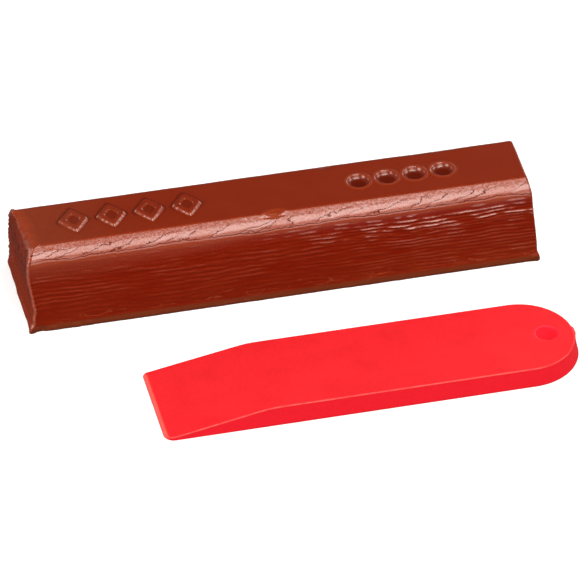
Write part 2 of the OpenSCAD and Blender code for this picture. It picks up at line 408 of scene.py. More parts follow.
def wax_material(s):
    """Glossy on the shoulders and the crests, satin on the top, dull on the foot and the left end.

    Depths are millimetres over the skin from the middle of the top, down the front or the back: the
    shoulder lies from 5.6 to about 10, and the foot begins at about 21."""
    material, t = new_material("cast_wax")
    here = millimetres(t)
    x, y, z = t.parts(here)
    around, top, shoulder, side = attributes(t, "around", "on_top", "on_shoulder", "on_side")
    foot, end, lip, bead = attributes(t, "on_foot", "at_end", "on_lip", "bead")
    crest, sunk, rim = attributes(t, "ridge", "sunk", "rim")
    depth = abs(around)
    skin = t.vector(x, around * (1.0 - end) + y * end, z * end)
    inputs = {"Vector": here, "Grain Size": 0.28, "Grain Height": 0.014, "Mottle Size": 5.0}
    grain = t.put("ShaderNodeGroup", inputs, node_tree=grain_group())

    def pattern(along, across, detail, roughness, w):
        """Noise over the skin, with its frequencies along the bar and round it."""
        return t.noise(t.scaled(skin, (along, across, 1.0)), detail, roughness, w)

    patchy = pattern(0.3, 0.7, 2.0, 0.5, 9.1)
    streak = pattern(0.16, 1.7, 3.0, 0.6, 1.3)
    fine_streak = pattern(0.3, 4.2, 2.0, 0.5, 7.7)
    pebble = pattern(1.6, 2.6, 3.0, 0.7, 2.9)
    speckle = pattern(1.8, 2.7, 1.5, 0.6, 5.2)
    wrinkle = pattern(2.5, 1.0, 3.0, 0.7, 3.8)

    # Cracks: the plates' borders, the long crack below them and one split across the shoulder
    border, shade = plates(t, x, depth, s.seed)
    below = long_crack(t, x, depth, s.seed)
    above = below.step(0.05, -0.1)
    fine = border.step(0.1, 0.045) * above * patchy.step(0.34, 0.5, 0.1, 1.0)
    long = abs(below).step(0.1, 0.05) * patchy.step(0.3, 0.5, 0.35, 1.0)
    split = x - 31.7 + (depth - 5.6) * 0.3 + (patchy - 0.5) * 1.5
    split = abs(split).step(0.12, 0.04) * above * around.step(1.0, 0.0)
    crack = t.largest(fine * depth.step(6.0, 7.2), long, split) * shoulder

    # The gloss of the shoulders dies away down the sides, later at the left end
    faded = depth.step(9.0, x.step(-42.0, 0.0, 13.6, 11.4), 1.0, 0.05)
    # Painted sheen: the upper sides are paler just below the shoulders, more so towards the left, where the
    # shoulders' highlight spreads down
    painted_sheen = faded * side * x.step(16.0, -24.0)
    bloom = top * x.step(-22.0, -44.0) * speckle.step(0.3, 0.7, 0.6, 1.0)
    # Painted light: the shoulders are paler than the sides, fading out at both of their edges, where the key
    # light falls on them
    pale = depth.step(5.5, 6.1, 0.35, 0.85) * depth.step(10.1, 8.9, 0.05, 1.0)
    # Short pale tide lines low on the sides
    tide = depth - 20.6 + (patchy - 0.5) * 5.0 + (pebble - 0.5) * 0.5
    tide = abs(t.math("PINGPONG", tide, 0.75))
    tide = tide.step(0.17, 0.04) * depth.step(19.0, 19.8) * streak.step(0.42, 0.6)
    tide = tide * t.largest(side, foot * 0.5)
    # Paler streaks low on the sides, stronger towards the right end
    paler_low_streaks = side * depth.step(16.5, 20.0) * x.step(0.0, 28.0, 0.15, 1.0)
    # The left end is darker high up, in patches
    dark = z.step(3.0, 13.0, 0.0, 0.6) * patchy.step(0.35, 0.65, 0.5, 1.2) * x.step(-10.0, 10.0, 1.0, 0.3)
    # Paler edges round both ends, partly wear and partly painted highlight
    worn_edge_highlight = end * (1.0 - end) * 4.0 * pebble.step(0.45, 0.6)
    layers = [
        (streak.step(0.45, 0.75) * 0.08, s.wax_pale_and_highlight),
        # Painted highlight: the ridge crests are paler where glints fall
        (crest * side * 0.38, s.wax_pale_and_highlight),
        (painted_sheen * 0.4, s.wax_pale_and_highlight),
        (top, s.wax_top),
        (bloom * 0.5, s.wax_bloom),
        (shoulder * pale, s.wax_pale_and_highlight),
        (foot * 0.85, s.wax_dust),
        # Painted highlight on the marks' front edges, rims and far walls
        (rim * 0.7, s.wax_pale_and_highlight),
        (tide * 0.75, s.wax_pale_and_highlight),
        (paler_low_streaks * fine_streak.step(0.35, 0.65) * 0.28, s.wax_pale_and_highlight),
        (end, t.mixed(dark, s.wax_end, s.wax_crack_and_shade)),
        (lip * pebble.step(0.3, 0.6, 0.4, 0.75), s.wax_pale_and_highlight),
        # Painted highlight on the bead, and on the ends' paler edges
        (bead * 0.8 + worn_edge_highlight * 0.4, s.wax_bead_highlight),
        # Painted shadow: a dark line low on the foot, where the bar meets the floor
        (foot * z.step(0.4, 0.15, 0.0, 0.6), s.wax_crack_and_shade),
        (grain["Mottle"] * 0.07, s.wax_pale_and_highlight),
        # Cracks, and painted shade in the dimples, round the lozenges' feet and in their sunk middles
        (t.largest(crack * 0.72, sunk * 0.75), s.wax_crack_and_shade),
    ]

    glow = depth.step(5.4, 7.4, 0.5, 1.0) * faded
    stipple = speckle.step(0.38, 0.6, depth.step(8.0, 6.6, 0.8, 0.42), 1.0)
    gloss = glow * t.largest(shoulder, side) * shade.step(0.0, 1.0, 0.85, 1.25) * stipple
    gloss = gloss + side * crest.step(0.4, 1.0) * x.step(-34.0, 12.0, 0.35, 1.0) + rim + tide * 0.6 + bead
    pebbled = shoulder * depth.step(8.4, 6.6, 0.3, 1.0)
    wrinkled = side * depth.step(15.0, 10.5) * x.step(22.0, -8.0)
    height = (
        grain["Height"]
        - crack * 0.05
        + (wrinkle - 0.5) * 0.12 * wrinkled * patchy.step(0.35, 0.6, 0.4, 1.0)
        + above * border.step(0.0, 0.35) * depth.step(6.2, 7.6) * 0.03
        + ((pebble - 0.5) * 0.1 + (speckle - 0.5) * 0.22) * pebbled
        + (fine_streak - 0.5) * 0.045 * side
    )
    inputs = {
        "Base Color": t.layered(s.wax, layers),
        "Roughness": top.step(0.0, 1.0, 0.34, 0.44) + end * 0.12,
        "Specular IOR Level": 0.32,
        "Specular Tint": (1.0, 0.34, 0.16, 1.0),
        "Coat Weight": t.math("MULTIPLY", gloss, 1.0 - crack, clamp=True),
        "Coat Roughness": 0.24,
        "Coat IOR": 1.68,
    }
    finish_material(t, inputs, height)
    return material


def plastic_material(s):
    """Satin plastic with a fine speckle, with painted highlight along its near edges and across its working
    tip, and painted light in its hole.
    """
    material, t = new_material("moulded_plastic")
    here = millimetres(t)
    wall, edge, tip, bore = attributes(t, "wall", "edge", "tip", "bore")
    inputs = {"Vector": here, "Grain Size": 0.3, "Grain Height": 0.022, "Mottle Size": 9.0}
    grain = t.put("ShaderNodeGroup", inputs, node_tree=grain_group())
    scuff = t.noise(t.scaled(here, (0.35, 2.2, 1.0)), 4.0, 0.6, 5.1)
    rubbed = t.noise(t.scaled(here, (0.6, 0.6, 0.6)), 3.0, 0.6, 8.4)
    speckle = t.noise(t.scaled(here, (2.2, 2.2, 2.2)), 2.0, 0.6, 3.3)
    blotch = t.noise(t.scaled(here, (0.14, 0.2, 0.2)), 2.0, 0.5, 6.6)
    layers = [
        (grain["Mottle"] * 0.5, s.plastic_worn),
        (speckle.step(0.4, 0.7) * 0.22, s.plastic_shade),
        (scuff.step(0.5, 0.8) * 0.5, s.plastic_worn),
        (blotch.step(0.45, 0.7) * 0.2, s.plastic_shade),
        # Painted shade on the walls
        (wall, t.mixed(speckle.step(0.4, 0.65) * 0.14, s.plastic_wall_shade, s.plastic_shade)),
        # Painted highlight along the near edges and across the tip, broken up by noise
        (edge * rubbed.step(0.35, 0.65, 0.35, 0.9), s.plastic_edge_highlight),
        (tip * rubbed.step(0.3, 0.6, 0.7, 1.0), s.plastic_edge_highlight),
        # Painted light: the inside of the hole is a brighter red
        (bore, s.plastic_bore_lit),
    ]
    inputs = {
        "Base Color": t.layered(s.plastic, layers),
        "Roughness": grain["Grain"].step(0.2, 0.8, 0.38, 0.52) - edge * 0.1,
        "Specular IOR Level": 0.35,
        "Specular Tint": (1.0, 0.6, 0.6, 1.0),
        # Painted light: the hole glows with an emission
        "Emission Color": t.mixed(bore, (0.0, 0.0, 0.0), s.plastic_glow),
        "Emission Strength": 1.0,
    }
    finish_material(t, inputs, grain["Height"])
    return material


# Lines and meshes

# At how many places the curve through a short table is worked out
TABLE_SAMPLES = 400


def unit(v):
    return v / np.linalg.norm(v)


def rounded(points, steps):
    """Rounds the corners of an open line of (y, z, radius) and returns it as an array."""
    line = [np.array(points[0][:2], float)]
    for before, here, after in zip(points, points[1:], points[2:]):
        a, b, c = (np.array(p[:2], float) for p in (before, here, after))
        to_a, to_c = unit(a - b), unit(c - b)
        half = math.acos(float(to_a @ to_c)) / 2
        centre = b + unit(to_a + to_c) * here[2] / math.sin(half)
        start = b + to_a * here[2] / math.tan(half) - centre
        stop = b + to_c * here[2] / math.tan(half) - centre
        turn = math.atan2(start[0] * stop[1] - start[1] * stop[0], float(start @ stop))
        for i in range(steps + 1):
            t = turn * i / steps
            line.append(centre + start * math.cos(t) + np.array([-start[1], start[0]]) * math.sin(t))
    line.append(np.array(points[-1][:2], float))
    return np.array(line)


def lengths_along(line):
    return np.concatenate([[0], np.cumsum(np.linalg.norm(np.diff(line, axis=0), axis=1))])


def resampled(line, bounds, counts):
    """Points on a line, with a count of steps for each stretch between two lengths along it."""
    lengths = lengths_along(line)
    stops = [bounds[0]]
    for low, high, steps in zip(bounds, bounds[1:], counts):
        stops.extend(np.linspace(low, high, steps + 1)[1:])
    stops = np.array(stops) * lengths[-1] / bounds[-1]
    return np.stack([np.interp(stops, lengths, line[:, k]) for k in (0, 1)], -1), stops


def smooth_table(rows, at, blur):
    """A smooth curve through a short table of (place, value)."""
    places, values = np.array(rows, float).T
    fine = np.linspace(places[0], places[-1], TABLE_SAMPLES)
    curve = np.interp(fine, places, values)
    reach = int(blur / (fine[1] - fine[0])) * 3
    weights = np.exp(-0.5 * (np.arange(-reach, reach + 1) * (fine[1] - fine[0]) / blur) ** 2)
    curve = np.convolve(np.pad(curve, reach, mode="edge"), weights / weights.sum(), mode="valid")
    return np.interp(at, fine, curve)


def dome(distance):
    """1 at no distance, falling to 0 at a distance of 1."""
    return np.clip(1 - distance**2, 0, None)


def bump_at(distance, reach):
    """1 at no distance, falling smoothly to 0 at the reach."""
    return dome(distance / reach) ** 2


def smooth_step(value, low, high):
    t = np.clip((value - low) / (high - low), 0, 1)
    return t * t * (3 - 2 * t)


def new_object(name, vertices, faces, zones=None):
    """An object with a smooth mesh that holds a value for each of its points in each zone."""
    mesh = bpy.data.meshes.new(name)
    mesh.from_pydata(vertices, [], faces)
    mesh.validate()
    mesh.shade_smooth()
    if len(mesh.vertices) != len(vertices):
        raise RuntimeError(f"{name} lost points when its mesh was made")
    for zone, values in (zones or {}).items():
        layer = mesh.attributes.new(zone, "FLOAT", "POINT")
        layer.data.foreach_set("value", values.astype(np.float32))
    piece = bpy.data.objects.new(name, mesh)
    bpy.context.scene.collection.objects.link(piece)
    return piece


def write_closed(builder, mesh):
    """Writes a bmesh back to its mesh, if it is closed."""
    if any(not edge.is_manifold for edge in builder.edges):
        raise RuntimeError(f"{mesh.name} isn't closed")
    builder.to_mesh(mesh)
    builder.free()


def keep_inside(mesh, low, high):
    """Holds every point of a mesh inside a box given in millimetres."""
    places = np.zeros(len(mesh.vertices) * 3, np.float32)
    mesh.vertices.foreach_get("co", places)
    places = np.clip(places.reshape(-1, 3), np.array(low) * MM, np.array(high) * MM)
    mesh.vertices.foreach_set("co", places.astype(np.float32).ravel())
    mesh.update()


# The wax bar's skin

# Steps round half of the section: over the top, the shoulder, the side and the foot, and below it
FRONT_STEPS = (20, 28, 104, 10, 7)
BACK_STEPS = (20, 22, 60, 8, 7)
# Steps round each of the section's bends before it is divided into those
BEND_STEPS = 8

# Rings over the left face, its edge, the body, the right edge and the right face
LEFT_FACE_RINGS = 20
LEFT_EDGE_RINGS = 9
BODY_RINGS = 236
RIGHT_EDGE_RINGS = 6
RIGHT_FACE_RINGS = 13
# Radius of the right end's edge
RIGHT_ROUND = 0.36

# How far apart the body's rings stand: at the marks, elsewhere and in the last stretch to an end,
# and at how many places along the bar this is worked out
MARK_SPACING = 0.36
PLAIN_SPACING = 0.52
END_SPACING = 0.12
END_STRETCH = 1.2
SPACING_SAMPLES = 4000

# Height of the point towards which the ends' edges are drawn in, and the least reach from it
MIDDLE_Z = 7.2
LEAST_REACH = 4.0

# The x of each end, as (height, x) at the front and at the back, in the model's frame
LEFT_FRONT = [
    (0, -47.0), (0.6, -47.05), (1.6, -46.5), (2.9, -46.4), (3.9, -46.1), (5.3, -46.3), (7.1, -46.55),
    (9.1, -46.85), (11.1, -47.05), (12.8, -46.95), (13.8, -46.6), (14.7, -46.1), (15.3, -45.6),
    (15.6, -45.1),
]
LEFT_BACK = [
    (0, -46.95), (0.6, -47.1), (3.3, -47.15), (5.6, -47.0), (8.0, -47.25), (11.0, -47.1), (11.9, -47.2),
    (13.4, -47.05), (14.6, -46.95), (15.3, -46.8), (15.6, -46.2),
]
RIGHT_FRONT = [
    (0, 47.1), (0.5, 47.2), (1.1, 47.15), (1.8, 46.92), (3.2, 46.9), (6.3, 46.68), (9.3, 46.42),
    (11.7, 46.25), (13.4, 46.2), (14.9, 45.95), (15.6, 45.75),
]
RIGHT_BACK = [
    (0, 47.1), (0.5, 47.2), (1.8, 46.95), (6.3, 46.7), (11.7, 46.4), (14.0, 46.3), (15.6, 46.15),
]
END_BLUR = 0.28

# Points above this height belong to the top and its edges
TOP_EDGES_Z = 14

# Beads of wax at the foot, as x, side (-1 is the front), height of the middle, reach and swell
FOOT_BEADS = [
    (-46.75, -1, 0.7, 0.75, 0.9),
    (-45.1, -1, 0.5, 0.8, -0.35),
    (-38.4, -1, 0.2, 0.6, 0.14),
    (46.7, -1, 0.7, 0.9, 0.45),
    (-46.5, 1, 0.6, 0.9, 0.25),
    (46.6, 1, 0.7, 0.8, 0.2),
    (12.5, 1, 0.4, 1.1, 0.12),
]


def bar_section(s):
    """Half of the bar's section, from the middle of the top round to the middle of the underside."""
    middle_y = (s.top_half + s.shoulder_half) / 2 - 0.1
    middle_z = (s.top_z + s.shoulder_z) / 2 + s.shoulder_crest
    return rounded(
        [
            (0, s.top_z, 0),
            (s.top_half, s.top_z, 1.0),
            (middle_y, middle_z, 1.6),
            (s.shoulder_half, s.shoulder_z, 4.0),
            (BAR_HALF - 0.45, 1.7, 4.0),
            (BAR_HALF - 0.08, 0.5, 0.6),
            (BAR_HALF - 0.06, 0, 0.14),
            (0, 0, 0),
        ],
        BEND_STEPS,
    )


class Section:
    """The bar's whole section as a loop of points, with the depths at which its zones meet."""

    def __init__(self, s):
        half = bar_section(s)
        length = lengths_along(half)[-1]
        foot_stop = length - half[-2, 0]
        self.top_half = s.top_half
        self.shoulder_stop = s.top_half + 4.4
        self.side_stop = foot_stop - 1.9
        self.under_start = foot_stop - 0.2
        bounds = [0, s.top_half - 0.2, self.shoulder_stop, self.side_stop, foot_stop, length]
        front, front_at = resampled(half, bounds, FRONT_STEPS)
        back, back_at = resampled(half, bounds, BACK_STEPS)
        self.y = np.concatenate([-front[:, 0], back[-2:0:-1, 0]])
        self.z = np.concatenate([front[:, 1], back[-2:0:-1, 1]])
        self.around = np.concatenate([front_at, -back_at[-2:0:-1]])
        self.depth = np.abs(self.around)
        loop = np.stack([self.y, self.z], -1)
        tangent = np.roll(loop, -1, axis=0) - np.roll(loop, 1, axis=0)
        outward = np.stack([tangent[:, 1], -tangent[:, 0]], -1)
        self.normal = (outward / np.linalg.norm(outward, axis=1, keepdims=True)).T
        # The body's half width at a height, from the foot up to the top
        self.heights = half[:-2][::-1, 1]
        self.half_widths = half[:-2][::-1, 0]

    def across(self, z):
        return np.maximum(np.interp(z, self.heights, self.half_widths), self.top_half)


def end_x(front, back, y, z, half, bulge):
    """The x of an end over its face: the front and back tables, blended across, with a bulge."""
    share = smooth_step(0.5 + 0.5 * y / half, 0, 1)
    x = (1 - share) * smooth_table(front, z, END_BLUR) + share * smooth_table(back, z, END_BLUR)
    return x + bulge * (1 - (2 * share - 1) ** 2) * smooth_step(z, 15.6, 12.0)


def body_shares(s):
    """Shares along the bar at which its rings stand, closest together at its ends and its marks."""
    length = BAR_HIGH.x - BAR_LOW.x
    at = np.linspace(0, length, SPACING_SAMPLES)
    first = s.lozenge_inset - 0.6 * s.lozenge_length
    last = s.lozenge_inset + (s.lozenge_count - 1) * s.lozenge_pitch + 0.6 * s.lozenge_length
    marked = (at > first) & (at < last)
    last = length - s.dimple_inset + 0.7 * s.dimple_width
    first = length - s.dimple_inset - (s.dimple_count - 1) * s.dimple_pitch - 0.7 * s.dimple_width
    marked |= (at > first) & (at < last)
    spacing = np.where(marked, MARK_SPACING, PLAIN_SPACING)
    spacing = np.where(np.minimum(at, length - at) < END_STRETCH, END_SPACING, spacing)
    passed = np.cumsum(1 / spacing)
    passed = (passed - passed[0]) / (passed[-1] - passed[0])
    return np.interp(np.linspace(0, 1, BODY_RINGS + 2)[1:-1], passed, at / length)


def ring_plan(s):
    """Rings from the middle of the left end, over its edge, along the bar and into the right end.

    Each is (where, share, turn): the share of the way along the body or in over an end's face, and
    how far it has turned over the edge."""
    square = math.pi / 2
    return (
        [("left", share, square) for share in np.linspace(1, 0, LEFT_FACE_RINGS + 1)[:-1]]
        + [("left", 0.0, turn) for turn in np.linspace(square, 0, LEFT_EDGE_RINGS)]
        + [("body", share, 0.0) for share in body_shares(s)]
        + [("right", 0.0, turn) for turn in np.linspace(0, square, RIGHT_EDGE_RINGS)]
        + [("right", share, square) for share in np.linspace(0, 1, RIGHT_FACE_RINGS + 1)[1:]]
    )


def bar_ring(section, where, share, turn):
    """The points of one ring of the bar's skin, and its values in the zones of the ends."""
    y, z = section.y, section.z
    normal_y, normal_z = section.normal
    # Only the top of the left end has a curled lip
    lip = smooth_step(section.depth, 6.6, 5.2)
    wavy = 0.22 * np.sin(0.9 * y + 0.6) + 0.15 * np.sin(2.3 * y + 2.0) + 0.08 * np.sin(5.1 * y)
    left_reach = 0.4 + lip * (0.72 + 0.035 * (y + 5.6) + wavy)
    left_drop = 0.4 + lip * (0.3 + 0.5 * wavy)

    # The ends' edges are drawn in towards the middle of the section, so that no corner folds over
    reach = np.maximum(normal_y * y + normal_z * (z - MIDDLE_Z), LEAST_REACH)
    inset = (left_drop if where == "left" else RIGHT_ROUND) * (1 - math.cos(turn))
    shrink = 0.0 if where == "body" else share
    py = y - y * inset / reach
    pz = z + (MIDDLE_Z - z) * inset / reach
    py = py - py * shrink
    pz = pz + (MIDDLE_Z - pz) * shrink

    across = section.across(pz)
    x_left = end_x(LEFT_FRONT, LEFT_BACK, py, pz, across, -0.12)
    ragged = np.sin(1.7 * pz + 0.6 * py) * np.sin(2.9 * pz - 1.1 * py + 1.0)
    ragged = 0.5 + 0.3 * ragged + 0.2 * np.sin(6.1 * pz + 2.3 * py) * np.sin(1.3 * py - 0.4)
    x_left = x_left + 0.34 * ragged * smooth_step(pz, 0, 1.5) * smooth_step(py, -across, -0.3 * across)
    x_right = end_x(RIGHT_FRONT, RIGHT_BACK, py, pz, across, 0.05)
    if where == "left":
        px = x_left + left_reach * (1 - math.sin(turn))
    elif where == "right":
        px = x_right - RIGHT_ROUND * (1 - math.sin(turn))
    else:
        start, stop = x_left + left_reach, x_right - RIGHT_ROUND
        px = start + (stop - start) * share

    # A thin bead runs down the left end's edges, and a low swell runs along its lip
    outer = shrink == 0
    bead = bump_at(px - x_left - 0.25, 0.42) * (1 - lip) * smooth_step(pz, 0, 1.0) * outer
    swell = bump_at(px - x_left - left_reach * 0.95, 0.55) * lip * outer
    py = py + normal_y * (0.3 * bead + 0.1 * swell)
    pz = pz + normal_z * (0.3 * bead + 0.1 * swell)
    slope = smooth_step(px - x_left, 1.25 * left_reach, 0.9 * left_reach) * lip * (where != "right")
    over = 0.0 if where == "body" else smooth_step(turn, 0.2, 1.4)
    zones = {
        "at_end": np.full_like(y, over),
        "left_end": np.full_like(y, over if where == "left" else 0.0),
        "on_lip": np.maximum(0.55 * slope * outer, bead),
        "bead": bead,
    }
    return np.stack([px, py + BAR_Y, pz], -1), zones


def capped_faces(rings, around):
    """Faces of a tube of rings with so many points around, whose first and last rings are one point.

    The points come ring by ring, and the two single ones come last."""
    caps = {0: (rings - 2) * around, rings - 1: (rings - 2) * around + 1}
    faces = []
    for i in range(1, rings):
        for j in range(around):
            k = (j + 1) % around
            cell = ((i - 1, j), (i - 1, k), (i, k), (i, j))
            corners = [caps.get(ring, (ring - 1) * around + at) for ring, at in cell]
            faces.append(tuple(dict.fromkeys(corners)))
    return faces


def bar_skin(s):
    """The bar's bare casting as a closed mesh, with the zones of its skin."""
    section = Section(s)
    rings, by_ring = zip(*(bar_ring(section, *ring) for ring in ring_plan(s)))
    vertices = np.concatenate([*rings[1:-1], rings[0][:1], rings[-1][-1:]])

    def per_point(rows, first=0.0, last=0.0):
        """The values of the rings' points, with the first and the last ring's single ones at the end."""
        return np.concatenate([*rows[1:-1], [first, last]])

    caps = {"at_end": (1.0, 1.0), "left_end": (1.0, 0.0)}
    zones = {name: per_point([ring[name] for ring in by_ring], *caps.get(name, ())) for name in by_ring[0]}
    zones["around"] = per_point([section.around] * len(rings))
    depth = per_point([section.depth] * len(rings))
    body = 1 - zones["at_end"]
    top, shoulder = section.top_half, section.shoulder_stop
    side, under = section.side_stop, section.under_start
    # The depths between which each zone rises, and those between which it falls
    bands = {
        "on_top": [(top + 0.25, top - 0.1)],
        "on_shoulder": [(top - 0.1, top + 0.2), (shoulder + 0.6, shoulder - 0.7)],
        "on_side": [(shoulder - 1.3, shoulder - 0.3), (side + 1.4, side + 0.2)],
        "on_foot": [(side + 0.2, side + 0.9), (under + 0.3, under)],
        "under": [(under, under + 0.8)],
    }
    for name, steps in bands.items():
        zones[name] = np.prod([smooth_step(depth, *step) for step in steps], axis=0) * body
    return vertices, capped_faces(len(rings), len(section.y)), zones


def local_shapes(places, zones, s):
    """The casting's single accidents: chipped edges, beads of wax at the foot and the lip."""
    x, y, z = places.T
    high = z > TOP_EDGES_Z
    front_edge = np.hypot((x + 1.2) / 2.5, y - BAR_Y + s.top_half + 0.1 - 0.08 * (x + 1.2))
    flake = dome(front_edge) * high
    curl = bump_at(np.abs(front_edge - 0.75), 0.35) * (y - BAR_Y > -s.top_half - 0.6) * high
    z = z - 0.2 * flake + 0.22 * curl
    # A chip and a long slump in the top's back edge
    for at, outward, long, wide, deep in ((10.8, 0.1, 1.6, 1.0, 0.3), (30.5, 0.6, 9.0, 1.4, 0.12)):
        away = np.hypot((x - at) / long, (y - BAR_Y - s.top_half - outward) / wide)
        z = z - deep * dome(away) * high
    for bead_x, side, bead_z, reach, swell in FOOT_BEADS:
        away = np.sqrt((x - bead_x) ** 2 + (y - BAR_Y - side * BAR_HALF) ** 2 + (z - bead_z) ** 2)
        bead = bump_at(away, reach * 1.6)
        y = y + side * swell * bead
        if abs(bead_x) > 40:
            x = x + math.copysign(0.5, bead_x) * swell * bead
    hollow = zones["under"] * bump_at(np.hypot((x - 1) / 47.5, (y - BAR_Y) / 10.9), 1.0)
    z = z + 0.35 * hollow
    zones["on_lip"] = np.clip(zones["on_lip"] + 0.5 * flake + 0.4 * curl, 0, 1)
    return np.stack([x, y, z], -1)


def refine_marks(mesh, s):
    """Halves the mesh's cells round the lozenges and the dimples, so that their edges come out crisp."""
    first = BAR_LOW.x + s.lozenge_inset
    last = first + (s.lozenge_count - 1) * s.lozenge_pitch
    reach = 0.5 * s.lozenge_length + 0.6
    lozenges = (first - reach, last + reach, 0.5 * s.lozenge_width + 0.6)
    last = BAR_HIGH.x - s.dimple_inset
    first = last - (s.dimple_count - 1) * s.dimple_pitch
    reach = 0.5 * s.dimple_width + 0.9
    dimples = (first - reach, last + reach, reach)

    def marked(vertex):
        x, y, z = vertex.co / MM
        near = any(a < x < b and abs(y - BAR_Y) < c for a, b, c in (lozenges, dimples))
        return near and z > s.top_z - 0.5

    builder = bmesh.new()
    builder.from_mesh(mesh)
    chosen = {vertex for vertex in builder.verts if marked(vertex)}
    edges = [edge for edge in builder.edges if edge.verts[0] in chosen and edge.verts[1] in chosen]
    bmesh.ops.subdivide_edges(builder, edges=edges, cuts=1, use_grid_fill=True)
    write_closed(builder, mesh)


# The wax bar's relief

# The settings that the relief's node group takes as inputs
RELIEF_SIZES = [
    "lozenge_height", "lozenge_length", "lozenge_width", "lozenge_rim", "lozenge_sink", "lozenge_pitch",
    "lozenge_inset", "lozenge_count", "dimple_width", "dimple_depth", "dimple_pitch", "dimple_inset",
    "dimple_count", "ridge_pitch", "ridge_height", "plate_relief", "unevenness", "end_relief", "seed",
]


def from_nearest(t, distance, pitch, count):
    """Distance from the nearest of a row of marks, given the distance from the first one."""
    nearest = t.largest(t.math("ROUND", distance / pitch), 0.0)
    return distance - t.math("MINIMUM", nearest, count - 1.0) * pitch


def mark_relief(t, given, x, y, wobble):
    """The height of the lozenges and the dimples, the share of gloss and painted highlight on their edges,
    rims and far walls, and the share of painted shade in their hollows and round the lozenges' feet.
    """
    # Lozenges: the signed distance from the outline of the nearest one
    from_first = x - (given["Lozenge Inset"] + BAR_LOW.x)
    dx = from_nearest(t, from_first, given["Lozenge Pitch"], given["Lozenge Count"])
    soft_x = (dx * dx + 0.09).root()
    soft_y = (y * y + 0.09).root()
    a = given["Lozenge Length"] * 0.5
    b = given["Lozenge Width"] * 0.5
    outside = (soft_x * b + soft_y * a - a * b) / (a * a + b * b).root() + wobble
    raised = outside.step(0.14, -0.12) * 0.6 + outside.step(0.02, -0.36) * 0.4
    sunk = (outside + given["Lozenge Rim"]).step(0.12, -0.2)
    crown = (soft_y / b) ** 2.0 * 0.12
    lozenges = raised * (given["Lozenge Height"] - crown) - sunk * given["Lozenge Sink"]

    # Dimples: a flat bowl with a low rim round it
    from_last = BAR_HIGH.x - given["Dimple Inset"] - x
    dx = from_nearest(t, from_last, given["Dimple Pitch"], given["Dimple Count"])
    radius = given["Dimple Width"] * 0.5
    away = (dx * dx + y * y).root() + wobble * 0.6
    bowl = t.largest(1.0 - (away / radius) ** 5.0, 0.0)
    rim = t.largest(1.0 - ((away - (radius + 0.25)) * 2.2) ** 2.0, 0.0)
    dimples = rim * 0.13 - bowl * given["Dimple Depth"]

    # Painted highlight and gloss: the lozenges' edges, strongest at the front, the dimples' rims and their
    # far walls, which face the light, are paler through this share
    edges = raised * (1.0 - raised) + sunk * (1.0 - sunk) * 0.6
    far_wall_glint = bowl * (1.0 - bowl) * y.step(0.2, 1.4, 0.0, 4.0)
    rubbed = edges * y.step(1.5, -0.5, 1.5, 4.5) + rim * 0.7 + far_wall_glint
    # Painted shade: a dark ring round each lozenge's foot, faint at the front where the light falls
    crease_shade = outside.step(-0.05, 0.15) * outside.step(0.75, 0.2) * y.step(-1.6, 0.4, 0.15, 0.9)
    return lozenges + dimples, rubbed, t.largest(bowl, crease_shade, sunk * 0.4)


def ridge_relief(t, pitch, x, depth, pattern):
    """The ridges drawn along the sides: the strong ones under the shoulders and the weak ones below."""
    swayed = depth + (pattern(0.06, 0.16, 2.0, 0.5, 0.0) - 0.5) * 2.0
    swayed = swayed + (pattern(0.5, 0.8, 3.0, 0.65, 3.0) - 0.5) * x.step(-20.0, 20.0, 1.15, 0.5)

    def rows(spread, sharpness, offset, along, low):
        """Rows of crests, broken along their length."""
        wave = t.math("SINE", swayed / (pitch * spread) * (2 * math.pi))
        broken = pattern(along, 0.95, 3.0, 0.6, offset)
        return (wave * 0.5 + 0.5) ** sharpness * broken.step(low, 0.6)

    strong = rows(0.8, 2.3, 11.0, 0.3, 0.42) * depth.step(9.3, 10.1) * depth.step(15.5, 12.4, 0.12, 1.0)
    strong = strong * x.step(-16.0, 26.0, 0.2, 1.3)
    wide = rows(0.9, 0.9, 17.0, 0.13, 0.34)
    narrow = rows(0.66, 1.2, 19.0, 0.13, 0.34)
    to_right = x.step(-5.0, 22.0)
    weak = (wide * (1.0 - to_right) + narrow * to_right) * depth.step(10.0, 12.0)
    weak = weak * depth.step(21.0, 16.5, x.step(0.0, 24.0, 0.35, 0.8), 1.0)
    return strong, weak


